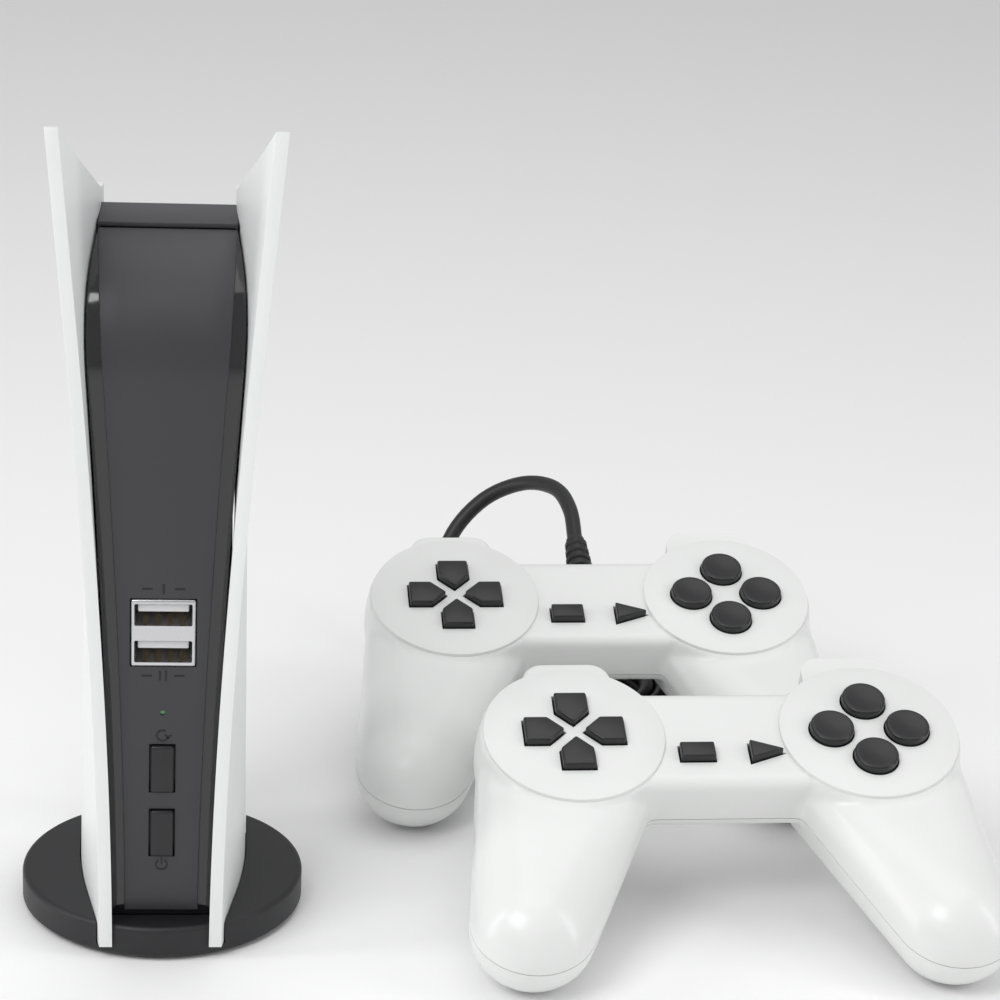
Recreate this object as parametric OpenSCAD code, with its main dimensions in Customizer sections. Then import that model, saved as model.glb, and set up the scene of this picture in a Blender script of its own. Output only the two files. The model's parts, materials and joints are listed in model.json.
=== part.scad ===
// Tower game console on a round base, with two wired game controllers beside it.
// Millimetres. Origin: centre of the console base on the surface. +X right, +Y back, +Z up.

/* [Console body] */
// Height of the side fins' front tips above the surface
console_h = 190; // [170:1:230]
// Top of the glossy housing
body_top = 161.5; // [150:0.5:180]
// Radius of the curve that carries the front over the top
brow_r = 28; // [26:0.5:29]
// Front face of the glossy housing, in front of the origin
body_front = 25; // [24:0.5:26]
// Rear face of the housing, behind the origin
body_rear = 29; // [28:0.5:36]
// Wall of the glossy housing
shell_t = 1.8; // [1.4:0.1:2.4]
// Thickness of the matte front panel, which stands proud of the housing
panel_t = 1; // [0.8:0.1:1.4]
// Strip of glossy housing that shows on each side of the front panel
cheek_w = 3.2; // [2.5:0.1:4]

/* [Side fins] */
// Thickness of each white side fin
fin_t = 2.8; // [2.2:0.1:3.2]
// Half-spread of the fins' front edges at the surface
fin_foot = 12.1; // [11.6:0.1:14.5]
// Half-spread of the fins' front edges at the tips
fin_tip = 23.4; // [21:0.1:28]
// Half-spread of the fins at their waist, low down
waist_low = 17.7; // [17:0.1:21]
// Half-spread of the fins at their waist, at the top
waist_high = 15.7; // [15:0.1:19]
// Front edge of the fins, in front of the origin
fin_front = 31; // [29:0.5:36]
// Rear edge of the fins, behind the origin
fin_rear = 31; // [30:0.5:37]
// Gap between a fin and the housing
fin_gap = 0.5; // [0.4:0.1:0.8]

/* [Base] */
// Radius of the round base
base_r = 32; // [30:0.5:40]
// Top of the round base above the surface
base_h = 8; // [7.6:0.1:10]
// Depth that the housing sinks into the base
base_sink = 3; // [2:0.1:3.2]
// Thickness of the foam pad under the base
pad_t = 0.8; // [0.5:0.1:1]

/* [Controls on the console] */
// Width of the twin USB socket
usb_w = 14; // [13.6:0.1:14.6]
// Height of the twin USB socket
usb_h = 15.6; // [15.2:0.1:16]
// Height of the socket's centre above the surface
usb_z = 77; // [74:0.5:84]
// Width of the reset and power buttons
key_w = 5.2; // [4.6:0.1:6]
// Height of the reset and power buttons
key_h = 11.2; // [10:0.1:12]
// Height of the reset button's centre
reset_z = 44.6; // [43.8:0.1:48]
// Height of the power button's centre
power_z = 28.9; // [26:0.1:29.6]
// Height of the indicator's centre
led_z = 57.9; // [56.5:0.1:62]
// How far the reset and power buttons press in
key_travel = 0.7; // [0.4:0.1:0.8]

/* [Controller] */
// Distance from the controller's centre line to each round face's centre
span = 34.5; // [33:0.5:42]
// Radius of each round face
disc_r = 21; // [20:0.5:22.5]
// Height of the round faces above the bridge
disc_rise = 0.8; // [0.5:0.1:1.2]
// Radius of the pod below each round face
pod_r = 22.4; // [22:0.1:26]
// Depth of each pod below the bridge's top
pod_depth = 27; // [26:0.5:31]
// Distance from the face centres forward to the grip tips' centres
grip_reach = 47.2; // [44:0.2:58]
// Distance from the centre line to the grip tips' centres
grip_spread = 47.5; // [46:0.5:58]
// Radius of the grip tips
grip_r = 14.3; // [13.5:0.1:16]
// Wall of the controller case
case_t = 2; // [1.6:0.1:2.4]
// Radius of the round buttons
button_r = 5.1; // [4.6:0.1:5.3]
// Distance from a button cluster's centre to each button
button_ring = 8.9; // [8.8:0.1:9.6]
// Width of each d-pad arrow
arrow_w = 7.6; // [6.6:0.1:8]
// Distance from the d-pad's centre to the arrows' outer ends
arrow_out = 11.6; // [11:0.1:12.4]
// Tilt of the controllers' faces towards the front
tilt = 20; // [18:0.5:21]

/* [Lead] */
// Diameter of the controller's lead
lead_d = 4; // [3.5:0.1:4]

/* [Hidden] */
eps = 0.01;
clear = 0.3;         // running clearance round a moving piece
slip = 0.35;         // clearance between a controller key and its window
CONSOLE = ["base_disc", "base_pad", "base_weight", "base_screws", "front_shell", "rear_shell",
    "front_panel", "left_fin", "right_fin", "usb_socket_shell", "usb_tongues", "usb_contacts",
    "reset_button", "power_button", "tact_switches", "status_led", "main_board", "game_chips",
    "jack_board", "link_wires", "av_jack", "power_inlet", "body_screws"];
PAD_PARTS = ["top_case", "bottom_case", "dpad", "dpad_pivot", "top_button", "bottom_button",
    "left_button", "right_button", "select_button", "start_button", "left_shoulder", "right_shoulder",
    "rubber_mats", "circuit_board", "case_screws"];
LEAD = ["lead_relief", "lead_tube", "lead_coil", "plug_body", "plug_shell"];

// --- shared shapes ---------------------------------------------------------------------------

// Solid skinned over rings of the same even number of points; the two end caps are ladders.
module loft(rings) {
    n = len(rings[0]);
    m = len(rings);
    half = n / 2;
    sides = [for (j = [0 : m - 2], i = [0 : n - 1])
        let (k = (i + 1) % n)
        each [[j * n + i, j * n + k, (j + 1) * n + k], [j * n + i, (j + 1) * n + k, (j + 1) * n + i]]];
    foot = [for (i = [0 : half - 2])
        each [[i, n - 1 - i, i + 1], [i + 1, n - 1 - i, n - 2 - i]]];
    head = [for (t = foot) [for (k = [2, 1, 0]) t[k] + (m - 1) * n]];
    polyhedron(points = [for (r = rings) each r], faces = concat(sides, foot, head), convexity = 6);
}

// Cylinder along +Y from y0 to y1.
module rod_y(x, z, r, y0, y1) {
    translate([x, y0, z]) rotate([-90, 0, 0]) cylinder(h = y1 - y0, r = r, $fn = 32);
}

// --- side fins -------------------------------------------------------------------------------

function flare(s) = 0.0503 * s + 1.434 * s * s - 0.4843 * s * s * s;
function front_spread(z) = fin_foot + (fin_tip - fin_foot) * flare(z / console_h);
function waist(z) = waist_low + (waist_high - waist_low) * z / console_h;
function ease(u) = u < 0.6 ? 1 - u : u < 1.4 ? (1.4 - u) * (1.4 - u) / 1.6 : 0;
// Half-spread of a fin's middle surface.
function fin_x(y, z) = waist(z) + (front_spread(z) - waist(z)) * ease((y + fin_front) / 30);
// Half-width of the housing where it follows the fins.
function body_x(y, z) = fin_x(y, z) - fin_t / 2 - fin_gap;

fin_bottom = 3;
fin_fall = 27;                       // drop of the top edge from front to rear
fin_len = fin_front + fin_rear;
fin_corner = 9;                      // radius of the rear top corner
function fin_top(y) = let (s = (y + fin_front) / fin_len, back = fin_rear - y)
    console_h - fin_fall * (2 * s - s * s)
    - (back < fin_corner ? fin_corner - sqrt(fin_corner * fin_corner - pow(fin_corner - back, 2)) : 0);
fin_cols = [0, 1.2, 4, 9, 15, 21, 27, 34, 42, 50, 56, 59, 61, 62];
fin_rows = 15;
peg_r = 2;
peg_y = 12;
peg_z = [for (s = [0.16, 0.47, 0.78]) s * console_h];

module right_fin() {
    rings = [for (c = fin_cols)
        let (y = -fin_front + c * fin_len / 62, thin = c < 1 ? 0.35 : 0.5)
        [for (k = [0 : 2 * fin_rows - 1])
            let (row = k < fin_rows ? k : 2 * fin_rows - 1 - k,
                 z = fin_bottom + (fin_top(y) - fin_bottom) * row / (fin_rows - 1),
                 face = k < fin_rows ? 1 : -1)
            [fin_x(y, z) + face * fin_t * thin, y, z]]];
    color("white") {
        loft(rings);
        for (z = peg_z)
            let (root = fin_x(peg_y, z) - fin_t / 2)
            translate([root - shell_t - fin_gap - 1, peg_y, z])
                rotate([0, 90, 0]) cylinder(h = shell_t + fin_gap + 2, r = peg_r, $fn = 24);
    }
}
module left_fin() {
    mirror([1, 0, 0]) right_fin();
}

// --- glossy housing --------------------------------------------------------------------------

body_bottom = base_h - base_sink;
seam_y = -4;
brow_z = body_top - brow_r;
brow_y = brow_r - body_front;
brow_step = 10.6;                    // degrees between the brow's sections
back_r = 18;

// Level section of the housing from y0 to y1, sunk inward by d.
function level_ring(y0, y1, z, d) = let (a = body_x(y0, z) - d, b = body_x(y1, z) - d)
    [[-a, y0, z], [-b, y1, z], [b, y1, z], [a, y0, z]];

// Front half of the housing as a solid up to y = to, sunk inward by d on its outer faces.
module front_solid(d, low, to) {
    angles = [for (k = [0 : 7]) k * brow_step];
    heights = concat([for (k = [0 : 8]) low + (brow_z - low) * k / 8],
        [for (k = [1 : 7]) brow_z + (brow_r - d) * sin(angles[k])]);
    fronts = concat([for (k = [0 : 8]) -body_front + d],
        [for (k = [1 : 7]) brow_y - (brow_r - d) * cos(angles[k])]);
    loft([for (k = [0 : 15]) level_ring(min(fronts[k], seam_y - 0.6), to, heights[k], d)]);
}

// Rear half of the housing as a solid from y = from.
module rear_solid(d, low, from) {
    top = body_top - d;
    bend_z = body_top - back_r;
    bend_y = body_rear - back_r;
    heights = concat([for (k = [0 : 8]) low + (bend_z - low) * k / 8],
        [for (a = [15 : 15 : 90]) bend_z + (back_r - d) * sin(a)]);
    backs = concat([for (k = [0 : 8]) body_rear - d],
        [for (a = [15 : 15 : 90]) bend_y + (back_r - d) * cos(a)]);
    loft([for (k = [0 : 14]) level_ring(from, backs[k], min(heights[k], top), d)]);
}

boss_r = 3;
pilot_r = 1.2;
boss_spots = [[6.2, 15], [8.5, 122]];                 // x and z of the body screws, each side
base_screw_y = [-14, 14];
key_gap = clear;
usb_front = body_front + panel_t + 0.4;
board_y = -13;
board_t = 1.6;

module key_window(z, depth0, depth1) {
    translate([-key_w / 2 - key_gap, depth0, z - key_h / 2 - key_gap])
        cube([key_w + 2 * key_gap, depth1 - depth0, key_h + 2 * key_gap]);
}
module usb_window(depth0, depth1) {
    translate([-usb_w / 2 - 0.2, depth0, usb_z - usb_h / 2 - 0.2])
        cube([usb_w + 0.4, depth1 - depth0, usb_h + 0.4]);
}
module face_openings(depth0, depth1, led_r) {
    usb_window(depth0, depth1);
    for (z = [reset_z, power_z]) key_window(z, depth0, depth1);
    rod_y(0, led_z, led_r, depth0, depth1);
}

module front_shell() {
    color([0.03, 0.03, 0.035]) difference() {
        front_solid(0, body_bottom, seam_y);
        difference() {
            front_solid(shell_t, body_bottom + shell_t, seam_y + 1);
            for (s = [-1, 1], b = boss_spots)
                rod_y(s * b[0], b[1], boss_r, -body_front, seam_y + 1);
            translate([0, base_screw_y[0], body_bottom]) cylinder(h = 9, r = boss_r, $fn = 32);
        }
        face_openings(-body_front - 1, -body_front + shell_t + 1, 1.2);
        for (s = [-1, 1], b = boss_spots) rod_y(s * b[0], b[1], pilot_r, seam_y - 12, seam_y + 1);
        translate([0, base_screw_y[0], body_bottom - 1]) cylinder(h = 9, r = pilot_r, $fn = 32);
    }
}

module rear_shell() {
    jack_r = 3.2;
    color([0.03, 0.03, 0.035]) difference() {
        union() {
            difference() {
                rear_solid(0, body_bottom, seam_y);
                difference() {
                    rear_solid(shell_t, body_bottom + shell_t, seam_y - 1);
                    for (s = [-1, 1], b = boss_spots)
                        rod_y(s * b[0], b[1], boss_r, seam_y - 1, body_rear);
                    translate([0, base_screw_y[1], body_bottom]) cylinder(h = 9, r = boss_r, $fn = 32);
                }
            }
            rear_strip();
        }
        for (s = [-1, 1], b = boss_spots) {
            rod_y(s * b[0], b[1], pilot_r, seam_y - 1, body_rear + 1);
            rod_y(s * b[0], b[1], 2.3, body_rear - 2, body_rear + 1);
        }
        for (s = [-1, 1], z = peg_z)
            translate([0, peg_y, z]) rotate([0, s * 90, 0]) cylinder(h = 30, r = peg_r, $fn = 24);
        rod_y(0, av_z, jack_r, body_rear - shell_t - 1, body_rear + 1);
        rod_y(0, inlet_z, inlet_r + 0.2, body_rear - shell_t - 1, body_rear + 1);
        translate([0, base_screw_y[1], body_bottom - 1]) cylinder(h = 9, r = pilot_r, $fn = 32);
    }
}

// Half-width of the matte panel at a height.
function panel_half(z) = body_x(-body_front, z) - cheek_w;

// Raised band on the rear half that carries on the front panel's line over the top.
module rear_strip() {
    w = panel_half(body_top);
    translate([-w, seam_y, body_top - 0.4]) cube([2 * w, body_rear - back_r - seam_y, 0.4 + panel_t]);
}

module front_panel() {
    stations = concat(
        [for (k = [0 : 8]) let (z = base_h + 1.6 + (brow_z - base_h - 1.6) * k / 8)
            [-body_front, z, 0, -1]],
        [for (k = [1 : 7]) let (a = k * brow_step)
            [brow_y - brow_r * cos(a), brow_z + brow_r * sin(a), sin(a), -cos(a)]]);
    color([0.13, 0.13, 0.14]) difference() {
        loft([for (p = stations)
            let (w = panel_half(p[1]), oy = p[0] + p[3] * panel_t, oz = p[1] + p[2] * panel_t)
            [[-w, oy, oz], [-w, p[0], p[1]], [w, p[0], p[1]], [w, oy, oz]]]);
        usb_window(-body_front - panel_t - 1, -body_front + 1);
        for (z = [reset_z, power_z]) key_window(z, -body_front - panel_t - 1, -body_front + 1);
        rod_y(0, led_z, 0.6, -body_front - panel_t - 1, -body_front + 1);
    }
}

// --- base ------------------------------------------------------------------------------------

// Outline of the housing where it enters the base, grown by d.
module foot_outline(d) {
    ys = [-body_front, seam_y, body_rear];
    right = [for (y = ys) [body_x(y, base_h) + d, y + (y < 0 ? -d : d)]];
    polygon(concat(right, [for (k = [2 : -1 : 0]) [-right[k][0], right[k][1]]]));
}
// Outline of a fin's foot, grown by d.
module fin_outline(d) {
    ys = [for (k = [0 : 10]) -fin_front - 2 + (fin_len + 4) * k / 10];
    polygon(concat([for (y = ys) [fin_x(y, base_h) + fin_t / 2 + d, y]],
        [for (k = [10 : -1 : 0]) [fin_x(ys[k], base_h) - fin_t / 2 - d, ys[k]]]));
}
weight_size = [17.2, 43.6, 2];
weight_z = pad_t + 0.2;
base_head_h = 1.6;

module base_disc() {
    edge = 1.2;
    color([0.04, 0.04, 0.045]) difference() {
        rotate_extrude($fn = 96) polygon(concat([[0, pad_t], [base_r - 0.6, pad_t], [base_r, pad_t + 0.6]],
            [for (a = [0 : 15 : 90]) [base_r - edge + edge * cos(a), base_h - edge + edge * sin(a)]],
            [[0, base_h]]));
        translate([0, 0, body_bottom]) linear_extrude(base_h) foot_outline(clear);
        for (s = [0, 1]) mirror([s, 0, 0])
            translate([0, 0, fin_bottom - clear]) linear_extrude(base_h) fin_outline(clear);
        translate([-weight_size[0] / 2 - 0.2, -weight_size[1] / 2 - 0.2, 0])
            cube([weight_size[0] + 0.4, weight_size[1] + 0.4, weight_z + weight_size[2]]);
        for (y = base_screw_y) translate([0, y, 0]) cylinder(h = base_h + 2, r = 1.6, $fn = 32);
    }
}
module base_pad() {
    color([0.1, 0.1, 0.1]) cylinder(h = pad_t, r = base_r - 3, $fn = 96);
}
module base_weight() {
    color("gray") difference() {
        translate([-weight_size[0] / 2, -weight_size[1] / 2, weight_z]) cube(weight_size);
        for (y = base_screw_y) translate([0, y, 0]) cylinder(h = base_h, r = 3, $fn = 32);
    }
}
module base_screws() {
    top = weight_z + weight_size[2];
    color("silver") for (y = base_screw_y) translate([0, y, 0]) {
        translate([0, 0, top - base_head_h]) cylinder(h = base_head_h, r = 2.6, $fn = 32);
        translate([0, 0, top - eps]) cylinder(h = body_bottom + 7 - top, r = pilot_r, $fn = 32);
    }
}

// --- console electronics ---------------------------------------------------------------------

port_w = 12.5;
port_h = 5.1;
port_dz = 4.3;                       // centre of each port above or below the socket's centre
tongue_t = 1.8;
switch_face = board_y - 3.5;

module usb_socket_shell() {
    color("silver") difference() {
        translate([-usb_w / 2, -usb_front, usb_z - usb_h / 2])
            cube([usb_w, usb_front + board_y, usb_h]);
        for (s = [-1, 1]) translate([-port_w / 2, -usb_front - 1, usb_z + s * port_dz - port_h / 2])
            cube([port_w, usb_front + board_y - 1, port_h]);
    }
}
module usb_tongues() {
    tip = usb_front - 1.2;
    color("white") for (s = [-1, 1])
        translate([-5.5, -tip, usb_z + s * port_dz + port_h / 2 - tongue_t - 0.5])
            cube([11, tip + board_y - 2, tongue_t]);
}
module usb_contacts() {
    color("gold") for (s = [-1, 1], k = [-1.5 : 1 : 1.5])
        translate([k * 2.4 - 0.5, -usb_front + 2.4, usb_z + s * port_dz + port_h / 2 - tongue_t - 0.7])
            cube([1, 8, 0.2]);
}

module key(z) {
    inner = -body_front + shell_t;
    flange = 1;
    color([0.05, 0.05, 0.055]) {
        hull() for (x = [-1, 1], v = [-1, 1])
            rod_y(x * (key_w / 2 - 0.6), z + v * (key_h / 2 - 0.6), 0.6, -body_front - panel_t - 0.9,
                inner + clear + eps);
        translate([-key_w / 2 - 0.9, inner + clear, z - key_h / 2 - 0.9])
            cube([key_w + 1.8, flange, key_h + 1.8]);
        rod_y(0, z, 1.5, inner + clear + flange - eps, switch_face - 1 - key_travel - 0.1);
    }
}
module reset_button() { key(reset_z); }
module power_button() { key(power_z); }

module tact_switches() {
    for (z = [reset_z, power_z]) {
        color("dimgray") translate([-3, switch_face, z - 3]) cube([6, 3.5, 6]);
        color("black") rod_y(0, z, 1.6, switch_face - 1, switch_face + eps);
    }
}
module status_led() {
    color("green") {
        rod_y(0, led_z, 1, -body_front + 0.4, board_y - 4);
        rod_y(0, led_z, 1.4, board_y - 4 - eps, board_y);
    }
}
board_w = 19;
board_z = [19, 102];
module main_board() {
    color("darkgreen") translate([-board_w / 2, board_y, board_z[0]])
        cube([board_w, board_t, board_z[1] - board_z[0]]);
}
module game_chips() {
    back = board_y + board_t;
    color([0.05, 0.05, 0.05]) {
        translate([0, back, 62]) rotate([-90, 0, 0]) cylinder(h = 1.4, r = 6, $fn = 32);
        translate([-4, back, 82]) cube([8, 1.6, 12]);
        translate([-6, back, 36]) cube([12, 1.6, 6]);
    }
    color("silver") translate([-2.5, board_y - 3, 90]) cube([5, 3, 9]);
}
jack_y = 17.5;
av_z = 60;
inlet_z = 40;
inlet_r = 4;
module jack_board() {
    color("darkgreen") translate([-8, jack_y - board_t, 30]) cube([16, board_t, 40]);
}
module link_wires() {
    color("firebrick") for (k = [-2 : 2])
        rod_y(k * 1.6, 50, 0.5, board_y + board_t, jack_y - board_t);
}
module av_jack() {
    color([0.08, 0.08, 0.08]) difference() {
        union() {
            translate([-3.5, jack_y, av_z - 3.5]) cube([7, body_rear - shell_t - 1.2 - jack_y, 7]);
            rod_y(0, av_z, 3, jack_y, body_rear - 0.2);
        }
        rod_y(0, av_z, 1.8, jack_y + 1, body_rear + 1);
    }
}
module power_inlet() {
    color([0.06, 0.06, 0.06]) difference() {
        rod_y(0, inlet_z, inlet_r, jack_y, body_rear - 0.2);
        rod_y(0, inlet_z, 2.8, jack_y + 1.5, body_rear + 1);
    }
    color("silver") rod_y(0, inlet_z, 1, jack_y + 1.5 - eps, body_rear - 1.5);
}
module body_screws() {
    color("silver") for (s = [-1, 1], b = boss_spots) {
        rod_y(s * b[0], b[1], 2.1, body_rear - 2, body_rear - 0.4);
        rod_y(s * b[0], b[1], pilot_r, seam_y - 9, body_rear - 2 + eps);
    }
}

// --- controller ------------------------------------------------------------------------------
// Own frame: x right, y away from the player, z out of the face; z = 0 is the bridge's top.

grip_drop = 13;
grip_flat = 0.909;                   // the tips' height over their width
part_z = -12;                        // plane where the case halves meet
bridge_front = 15.5;
bridge_back = 14.2;
bridge_t = 15;
shoulder_x = span - 1;
shoulder_w = 20.8;
shoulder_y = [15, 27];
shoulder_z = [-13, -3];
housing_low = 27.2;
roof = disc_rise - case_t;           // underside of the round faces
deck = -case_t;                      // underside of the bridge's top
mat_z = -7.2;
mat_t = 1;
dome_top = -4.9;
pcb_t = 1.6;
ball_z = -3.5;
ball_r = 1.5;
// x, y, head height and length of each case screw
pad_screws = [for (s = [-1, 1]) each [[s * 15.2, 9.4, -13.2, 7], [s * 43.5, -29, -18, 11]]];
tip_rest = grip_reach * sin(tilt) + grip_drop * cos(tilt)
    + grip_r * sqrt(pow(grip_flat * cos(tilt), 2) + pow(sin(tilt), 2));

module pod_form(d) {
    rotate_extrude($fn = 36) polygon(concat(
        [[0, disc_rise - d], [disc_r - d, disc_rise - d], [disc_r - d + 0.5, -d],
         [pod_r - d, -6], [pod_r - d, -10]],
        [for (a = [15 : 15 : 75]) [(pod_r - d) * cos(a), -10 - (pod_depth - 10 - d) * sin(a)]],
        [[0, -pod_depth + d]]));
}
// Rounded root of a grip, inside its pod.
module grip_root(d) {
    r = pod_r - 0.6 - d;
    top = -1.6 - d;
    low = -pod_depth + 3 + d;
    rotate_extrude($fn = 28) polygon([[0, top], [r - 6, top], [r - 2.5, top - 1.2], [r - 0.6, top - 4],
        [r, top - 9], [r - 2, low + 4], [r - 7, low + 1], [r - 12, low], [0, low]]);
}
module grip_tip(d) {
    translate([grip_spread, -grip_reach, -grip_drop]) scale([1, 1, grip_flat])
        sphere(r = grip_r - d, $fn = 20);
}
module bridge_form(d) {
    y0 = -bridge_front + d;
    y1 = bridge_back - d;
    e = 2.2;
    hull() for (y = [y0 + e, y1 - e], z = [-d - e, -bridge_t + d + e])
        translate([-span, y, z]) rotate([0, 90, 0]) cylinder(h = 2 * span, r = e, $fn = 20);
}
module shoulder_form(d, z0, z1) {
    w = shoulder_w / 2 + d;
    hull() {
        translate([-w, shoulder_y[0] - d, z0]) cube([2 * w, 4, z1 - z0]);
        for (s = [-1, 1]) translate([s * (w - 5), shoulder_y[1] + d - 5, z0])
            cylinder(h = z1 - z0, r = 5, $fn = 24);
    }
}
module case_form(d) {
    bridge_form(d);
    for (s = [0, 1]) mirror([s, 0, 0]) {
        translate([span, 0, 0]) pod_form(d);
        hull() {
            translate([span, 0, 0]) grip_root(d);
            grip_tip(d);
        }
    }
}
// Blocks behind the pods, below the shoulder buttons.
module housings(d) {
    for (s = [-1, 1]) translate([s * shoulder_x, -4 + d, 0])
        shoulder_form(-d, -housing_low + d, shoulder_z[0] - 0.8 - d);
}

module pentagon(d) {
    w = arrow_w / 2 + d;
    tip = 2.3 - d * 1.41;
    polygon([[0, tip], [w, tip + w], [w, arrow_out + d], [-w, arrow_out + d], [-w, tip + w]]);
}
module arrows(d, z0, z1) {
    for (a = [0 : 90 : 270]) rotate(a) translate([0, 0, z0]) linear_extrude(z1 - z0) pentagon(d);
}
function button_spot(k) = [span + button_ring * sin(k * 90), button_ring * cos(k * 90)];

menu_y = -6.4;
select_x = -6.7;
start_x = 9.4;
module select_outline(d) {
    translate([select_x, menu_y]) square([8 + 2 * d, 4.6 + 2 * d], center = true);
}
module start_outline(d) {
    translate([start_x, menu_y])
        polygon([[-3.8 - d, -2.9 - 1.6 * d], [4 + 2.4 * d, 0], [-3.8 - d, 2.9 + 1.6 * d]]);
}

module case_windows() {
    translate([-span, 0, 0]) arrows(slip, roof - 1, disc_rise + 1);
    for (k = [0 : 3]) translate([button_spot(k)[0], button_spot(k)[1], roof - 1])
        cylinder(h = case_t + 2, r = button_r + slip, $fn = 32);
    translate([0, 0, deck - 1]) linear_extrude(case_t + 2) {
        select_outline(slip);
        start_outline(slip);
    }
}
module shoulder_windows() {
    for (s = [-1, 1]) translate([s * shoulder_x, 0, 0])
        shoulder_form(0.5, shoulder_z[0] - 0.5, shoulder_z[1] + 0.5);
}
module half_space(low, high) {
    translate([-80, -80, low]) cube([160, 130, high - low]);
}
module screw_bosses(r, z0, z1) {
    for (p = pad_screws) translate([p[0], p[1], z0]) cylinder(h = z1 - z0, r = r, $fn = 20);
}

module lead_hole(r) {
    translate([0, bridge_back - 4, lead_z]) rotate([-90, 0, 0]) cylinder(h = 6, r = r, $fn = 28);
}
lead_z = -7.5;
relief_r = 3.6;

module top_case(hole) {
    color([0.93, 0.94, 0.95]) difference() {
        union() {
            intersection() {
                difference() {
                    case_form(0);
                    case_form(case_t);
                }
                half_space(part_z, 5);
            }
            intersection() {
                case_form(case_t - 0.2);
                screw_bosses(3, part_z, -1);
            }
        }
        case_windows();
        shoulder_windows();
        for (p = pad_screws) translate([p[0], p[1], p[2]])
            cylinder(h = p[3] + 0.4, r = pilot_r, $fn = 20);
        lead_hole(hole);
    }
}
module bottom_case() {
    color([0.93, 0.94, 0.95]) difference() {
        union() {
            intersection() {
                difference() {
                    union() {
                        case_form(0);
                        housings(0);
                    }
                    case_form(case_t);
                    housings(case_t);
                }
                half_space(-40, part_z);
            }
            intersection() {
                case_form(1);
                screw_bosses(4, -26, part_z);
            }
        }
        shoulder_windows();
        for (p = pad_screws) translate([p[0], p[1], 0]) {
            translate([0, 0, -40]) cylinder(h = 40 + part_z + 1, r = 1.6, $fn = 20);
            translate([0, 0, -40]) cylinder(h = 40 + p[2], r = 2.9, $fn = 20);
        }
    }
}
module dpad() {
    color([0.09, 0.09, 0.1]) translate([-span, 0, 0]) difference() {
        union() {
            translate([0, 0, ball_z]) cylinder(h = 1.4, r = arrow_out + 1, $fn = 48);
            arrows(0, ball_z, disc_rise + 1.8);
            for (a = [0 : 90 : 270]) rotate(a) translate([0, 8, -4.3]) cylinder(h = 1, r = 1.5, $fn = 20);
        }
        translate([0, 0, ball_z]) sphere(r = ball_r + 0.15, $fn = 32);
    }
}
module dpad_pivot() {
    color("silver") translate([-span, 0, ball_z]) sphere(r = ball_r, $fn = 32);
}
module round_button(k) {
    color([0.09, 0.09, 0.1]) translate([button_spot(k)[0], button_spot(k)[1], 0]) {
        translate([0, 0, -3]) cylinder(h = 3 + disc_rise + 1.4, r = button_r, $fn = 48);
        translate([0, 0, disc_rise + 1.4 - eps]) cylinder(h = 0.5, r1 = button_r, r2 = button_r - 0.5, $fn = 48);
        translate([0, 0, -3.4]) cylinder(h = 1.4, r = button_r + 0.9, $fn = 48);
    }
}
module select_button() {
    color([0.09, 0.09, 0.1]) {
        translate([0, 0, -3]) linear_extrude(5) select_outline(0);
        translate([0, 0, -3.6]) linear_extrude(1) select_outline(0.9);
    }
}
module start_button() {
    color([0.09, 0.09, 0.1]) {
        translate([0, 0, -3]) linear_extrude(5) start_outline(0);
        translate([0, 0, -3.6]) linear_extrude(1) start_outline(0.6);
    }
}
module shoulder_button(side) {
    color([0.93, 0.94, 0.95]) translate([side * shoulder_x, 0, 0])
        shoulder_form(0, shoulder_z[0], shoulder_z[1]);
}
module dome(x, y) {
    translate([x, y, mat_z + mat_t - eps]) cylinder(h = dome_top - mat_z - mat_t, r1 = 3.2, r2 = 2, $fn = 20);
}
mat_r = 14;
module rubber_mats() {
    color("lightgray") {
        for (s = [-1, 1]) translate([s * span, 0, mat_z]) cylinder(h = mat_t, r = mat_r, $fn = 40);
        translate([-12, menu_y - 4.4, mat_z]) cube([26, 7.4, mat_t]);
        for (k = [0 : 3]) {
            dome(button_spot(k)[0], button_spot(k)[1]);
            dome(-span + 8 * sin(k * 90), 8 * cos(k * 90));
        }
        dome(select_x, menu_y);
        dome(start_x, menu_y);
        translate([-span, 0, mat_z + mat_t - eps])
            cylinder(h = ball_z - ball_r - mat_z - mat_t + eps, r = 1.2, $fn = 20);
    }
}
module circuit_board() {
    color("darkgreen") translate([0, 0, mat_z - pcb_t]) {
        for (s = [-1, 1]) translate([s * span, -1, 0]) cylinder(h = pcb_t, r = 14.6, $fn = 40);
        translate([-span, -12, 0]) cube([2 * span, 15, pcb_t]);
    }
}
module case_screws() {
    color("silver") for (p = pad_screws) translate([p[0], p[1], p[2]]) {
        translate([0, 0, -1.6]) cylinder(h = 1.6, r = 2.4, $fn = 32);
        translate([0, 0, -eps]) cylinder(h = p[3], r = pilot_r, $fn = 32);
    }
}

module pad_part(name, hole) {
    if (name == "top_case") top_case(hole);
    if (name == "bottom_case") bottom_case();
    if (name == "dpad") dpad();
    if (name == "dpad_pivot") dpad_pivot();
    if (name == "top_button") round_button(0);
    if (name == "right_button") round_button(1);
    if (name == "bottom_button") round_button(2);
    if (name == "left_button") round_button(3);
    if (name == "select_button") select_button();
    if (name == "start_button") start_button();
    if (name == "left_shoulder") shoulder_button(-1);
    if (name == "right_shoulder") shoulder_button(1);
    if (name == "rubber_mats") rubber_mats();
    if (name == "circuit_board") circuit_board();
    if (name == "case_screws") case_screws();
}

// Where the two controllers stand: centre of the bridge's top, and their turn about the vertical.
rear_at = [106, 80];
front_at = [128, 0];
pad_turn = 2;
module stand(at) {
    translate([at[0], at[1], tip_rest]) rotate([0, 0, pad_turn]) rotate([tilt, 0, 0]) children();
}

// --- lead of the rear controller -------------------------------------------------------------

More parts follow.
